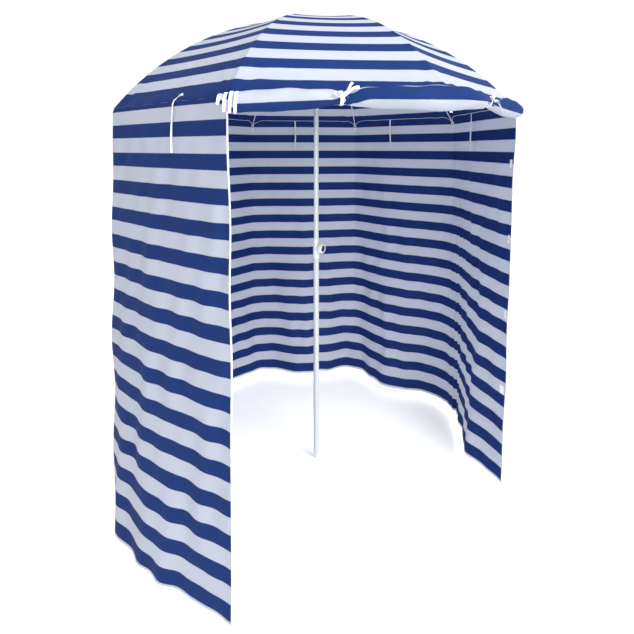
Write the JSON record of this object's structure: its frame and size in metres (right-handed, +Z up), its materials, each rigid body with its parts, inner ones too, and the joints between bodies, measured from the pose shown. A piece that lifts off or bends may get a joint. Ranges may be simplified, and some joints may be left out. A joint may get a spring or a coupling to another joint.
{
  "type": "beach umbrella with side wall",
  "caption": "Octagonal striped beach umbrella on a telescopic pole, with a hanging side wall, a tied-up front flap and ribs that fold down on a runner.",
  "frame": {"origin": "on the pole's axis, at the lower end of the lower tube's round wall, just above the point", "axes": "+Z up along the pole, doorway facing -Y, +X to the right seen from the doorway"},
  "size_m": [1.6698, 1.7376, 2.0376],
  "materials": {
    "pole_paint": "gloss",
    "rib_paint": "satin",
    "spike_plastic": "satin",
    "white_plastic": "satin",
    "grey_plastic": "satin",
    "navy_plastic": "matte",
    "steel": "satin",
    "striped_cloth": "matte",
    "white_tape": "matte",
    "hook_and_loop": "matte"
  },
  "bodies": {
    "lower_pole": {"ground_spike": "spike_plastic", "lower_pole": "pole_paint", "clamp_collar": "white_plastic"},
    "clamp_knob": {"clamp_knob": "white_plastic", "knob_cap": "navy_plastic", "clamp_screw": "steel"},
    "upper_pole": {"upper_pole": "pole_paint", "pole_bush": "white_plastic", "crown": "white_plastic", "crown_wire": "steel", "top_cap": "white_plastic", "canopy": "striped_cloth", "side_wall": "striped_cloth", "front_roll": "striped_cloth", "roll_ties": "white_tape", "wall_ties": "white_tape", "edge_patches": "hook_and_loop"},
    "runner": {"runner": "white_plastic"},
    "runner_button": {"runner_button": "grey_plastic"},
    "rib_1": {"rib_1": "rib_paint", "rib_clip_1": "rib_paint", "rib_tip_1": "white_plastic"},
    "stretcher_1": {"stretcher_1": "rib_paint"},
    "wall_loop_1": {"wall_loop_1": "white_plastic"},
    "rib_2": {"rib_2": "rib_paint", "rib_clip_2": "rib_paint", "rib_tip_2": "white_plastic"},
    "stretcher_2": {"stretcher_2": "rib_paint"},
    "wall_loop_2": {"wall_loop_2": "white_plastic"},
    "rib_3": {"rib_3": "rib_paint", "rib_clip_3": "rib_paint", "rib_tip_3": "white_plastic"},
    "stretcher_3": {"stretcher_3": "rib_paint"},
    "wall_loop_3": {"wall_loop_3": "white_plastic"},
    "rib_4": {"rib_4": "rib_paint", "rib_clip_4": "rib_paint", "rib_tip_4": "white_plastic"},
    "stretcher_4": {"stretcher_4": "rib_paint"},
    "wall_loop_4": {"wall_loop_4": "white_plastic"},
    "rib_5": {"rib_5": "rib_paint", "rib_clip_5": "rib_paint", "rib_tip_5": "white_plastic"},
    "stretcher_5": {"stretcher_5": "rib_paint"},
    "wall_loop_5": {"wall_loop_5": "white_plastic"},
    "rib_6": {"rib_6": "rib_paint", "rib_clip_6": "rib_paint", "rib_tip_6": "white_plastic"},
    "stretcher_6": {"stretcher_6": "rib_paint"},
    "wall_loop_6": {"wall_loop_6": "white_plastic"},
    "rib_7": {"rib_7": "rib_paint", "rib_clip_7": "rib_paint", "rib_tip_7": "white_plastic"},
    "stretcher_7": {"stretcher_7": "rib_paint"},
    "wall_loop_7": {"wall_loop_7": "white_plastic"},
    "rib_8": {"rib_8": "rib_paint", "rib_clip_8": "rib_paint", "rib_tip_8": "white_plastic"},
    "stretcher_8": {"stretcher_8": "rib_paint"},
    "wall_loop_8": {"wall_loop_8": "white_plastic"}
  },
  "joints": [
    {"name": "pole_height", "type": "slide", "parent": "lower_pole", "child": "upper_pole", "axis": [0, 0, 1], "range_m": [-0.05, 0.25]},
    {"name": "knob_turn", "type": "hinge", "parent": "lower_pole", "child": "clamp_knob", "pos_m": [0.01696, -0.0106, 0.946], "axis": [0.848, -0.5299, 0], "range_deg": [-90, 360]},
    {"name": "runner_slide", "type": "slide", "parent": "upper_pole", "child": "runner", "axis": [0, 0, -1], "range_m": [0, 0.49096]},
    {"name": "runner_button_press", "type": "slide", "parent": "runner", "child": "runner_button", "axis": [0, 1, 0], "range_m": [0, 0.0025], "stiffness_N_per_m": 400, "springref_m": -0.002},
    {"name": "rib_1_fold", "type": "hinge", "parent": "upper_pole", "child": "rib_1", "pos_m": [-0.00702, -0.02295, 1.98073], "axis": [0.9563, -0.2924, 0], "range_deg": [0, 58.02]},
    {"name": "stretcher_1_fold", "type": "hinge", "parent": "rib_1", "child": "stretcher_1", "pos_m": [-0.11863, -0.38802, 1.88844], "axis": [0.9563, -0.2924, 0], "range_deg": [-103.56, 0]},
    {"name": "wall_loop_1_hang", "type": "hinge", "parent": "rib_1", "child": "wall_loop_1", "pos_m": [-0.24956, -0.81627, 1.55025], "axis": [0.9563, -0.2924, 0], "range_deg": [-58.02, 0]},
    {"name": "rib_2_fold", "type": "hinge", "parent": "upper_pole", "child": "rib_2", "pos_m": [0.01127, -0.02119, 1.98073], "axis": [0.8829, 0.4695, 0], "range_deg": [0, 58.02]},
    {"name": "stretcher_2_fold", "type": "hinge", "parent": "rib_2", "child": "stretcher_2", "pos_m": [0.19049, -0.35826, 1.88844], "axis": [0.8829, 0.4695, 0], "range_deg": [-103.56, 0]},
    {"name": "wall_loop_2_hang", "type": "hinge", "parent": "rib_2", "child": "wall_loop_2", "pos_m": [0.40072, -0.75365, 1.55025], "axis": [0.8829, 0.4695, 0], "range_deg": [-58.02, 0]},
    {"name": "rib_3_fold", "type": "hinge", "parent": "upper_pole", "child": "rib_3", "pos_m": [0.02295, -0.00702, 1.98073], "axis": [0.2924, 0.9563, 0], "range_deg": [0, 58.02]},
    {"name": "stretcher_3_fold", "type": "hinge", "parent": "rib_3", "child": "stretcher_3", "pos_m": [0.38802, -0.11863, 1.88844], "axis": [0.2924, 0.9563, 0], "range_deg": [-103.56, 0]},
    {"name": "wall_loop_3_hang", "type": "hinge", "parent": "rib_3", "child": "wall_loop_3", "pos_m": [0.81627, -0.24956, 1.55025], "axis": [0.2924, 0.9563, 0], "range_deg": [-58.02, 0]},
    {"name": "rib_4_fold", "type": "hinge", "parent": "upper_pole", "child": "rib_4", "pos_m": [0.02119, 0.01127, 1.98073], "axis": [-0.4695, 0.8829, 0], "range_deg": [0, 58.02]},
    {"name": "stretcher_4_fold", "type": "hinge", "parent": "rib_4", "child": "stretcher_4", "pos_m": [0.35826, 0.19049, 1.88844], "axis": [-0.4695, 0.8829, 0], "range_deg": [-103.56, 0]},
    {"name": "wall_loop_4_hang", "type": "hinge", "parent": "rib_4", "child": "wall_loop_4", "pos_m": [0.75365, 0.40072, 1.55025], "axis": [-0.4695, 0.8829, 0], "range_deg": [-58.02, 0]},
    {"name": "rib_5_fold", "type": "hinge", "parent": "upper_pole", "child": "rib_5", "pos_m": [0.00702, 0.02295, 1.98073], "axis": [-0.9563, 0.2924, 0], "range_deg": [0, 58.02]},
    {"name": "stretcher_5_fold", "type": "hinge", "parent": "rib_5", "child": "stretcher_5", "pos_m": [0.11863, 0.38802, 1.88844], "axis": [-0.9563, 0.2924, 0], "range_deg": [-103.56, 0]},
    {"name": "wall_loop_5_hang", "type": "hinge", "parent": "rib_5", "child": "wall_loop_5", "pos_m": [0.24956, 0.81627, 1.55025], "axis": [-0.9563, 0.2924, 0], "range_deg": [-58.02, 0]},
    {"name": "rib_6_fold", "type": "hinge", "parent": "upper_pole", "child": "rib_6", "pos_m": [-0.01127, 0.02119, 1.98073], "axis": [-0.8829, -0.4695, 0], "range_deg": [0, 58.02]},
    {"name": "stretcher_6_fold", "type": "hinge", "parent": "rib_6", "child": "stretcher_6", "pos_m": [-0.19049, 0.35826, 1.88844], "axis": [-0.8829, -0.4695, 0], "range_deg": [-103.56, 0]},
    {"name": "wall_loop_6_hang", "type": "hinge", "parent": "rib_6", "child": "wall_loop_6", "pos_m": [-0.40072, 0.75365, 1.55025], "axis": [-0.8829, -0.4695, 0], "range_deg": [-58.02, 0]},
    {"name": "rib_7_fold", "type": "hinge", "parent": "upper_pole", "child": "rib_7", "pos_m": [-0.02295, 0.00702, 1.98073], "axis": [-0.2924, -0.9563, 0], "range_deg": [0, 58.02]},
    {"name": "stretcher_7_fold", "type": "hinge", "parent": "rib_7", "child": "stretcher_7", "pos_m": [-0.38802, 0.11863, 1.88844], "axis": [-0.2924, -0.9563, 0], "range_deg": [-103.56, 0]},
    {"name": "wall_loop_7_hang", "type": "hinge", "parent": "rib_7", "child": "wall_loop_7", "pos_m": [-0.81627, 0.24956, 1.55025], "axis": [-0.2924, -0.9563, 0], "range_deg": [-58.02, 0]},
    {"name": "rib_8_fold", "type": "hinge", "parent": "upper_pole", "child": "rib_8", "pos_m": [-0.02119, -0.01127, 1.98073], "axis": [0.4695, -0.8829, 0], "range_deg": [0, 58.02]},
    {"name": "stretcher_8_fold", "type": "hinge", "parent": "rib_8", "child": "stretcher_8", "pos_m": [-0.35826, -0.19049, 1.88844], "axis": [0.4695, -0.8829, 0], "range_deg": [-103.56, 0]},
    {"name": "wall_loop_8_hang", "type": "hinge", "parent": "rib_8", "child": "wall_loop_8", "pos_m": [-0.75365, -0.40072, 1.55025], "axis": [0.4695, -0.8829, 0], "range_deg": [-58.02, 0]}
  ],
  "couplings": [
    {"joint": "rib_1_fold", "follows": "runner_slide", "rad_per_m": 2.0619},
    {"joint": "stretcher_1_fold", "follows": "runner_slide", "rad_per_m": -3.6806},
    {"joint": "wall_loop_1_hang", "follows": "runner_slide", "rad_per_m": -2.0619},
    {"joint": "rib_2_fold", "follows": "runner_slide", "rad_per_m": 2.0619},
    {"joint": "stretcher_2_fold", "follows": "runner_slide", "rad_per_m": -3.6806},
    {"joint": "wall_loop_2_hang", "follows": "runner_slide", "rad_per_m": -2.0619},
    {"joint": "rib_3_fold", "follows": "runner_slide", "rad_per_m": 2.0619},
    {"joint": "stretcher_3_fold", "follows": "runner_slide", "rad_per_m": -3.6806},
    {"joint": "wall_loop_3_hang", "follows": "runner_slide", "rad_per_m": -2.0619},
    {"joint": "rib_4_fold", "follows": "runner_slide", "rad_per_m": 2.0619},
    {"joint": "stretcher_4_fold", "follows": "runner_slide", "rad_per_m": -3.6806},
    {"joint": "wall_loop_4_hang", "follows": "runner_slide", "rad_per_m": -2.0619},
    {"joint": "rib_5_fold", "follows": "runner_slide", "rad_per_m": 2.0619},
    {"joint": "stretcher_5_fold", "follows": "runner_slide", "rad_per_m": -3.6806},
    {"joint": "wall_loop_5_hang", "follows": "runner_slide", "rad_per_m": -2.0619},
    {"joint": "rib_6_fold", "follows": "runner_slide", "rad_per_m": 2.0619},
    {"joint": "stretcher_6_fold", "follows": "runner_slide", "rad_per_m": -3.6806},
    {"joint": "wall_loop_6_hang", "follows": "runner_slide", "rad_per_m": -2.0619},
    {"joint": "rib_7_fold", "follows": "runner_slide", "rad_per_m": 2.0619},
    {"joint": "stretcher_7_fold", "follows": "runner_slide", "rad_per_m": -3.6806},
    {"joint": "wall_loop_7_hang", "follows": "runner_slide", "rad_per_m": -2.0619},
    {"joint": "rib_8_fold", "follows": "runner_slide", "rad_per_m": 2.0619},
    {"joint": "stretcher_8_fold", "follows": "runner_slide", "rad_per_m": -3.6806},
    {"joint": "wall_loop_8_hang", "follows": "runner_slide", "rad_per_m": -2.0619}
  ]
}
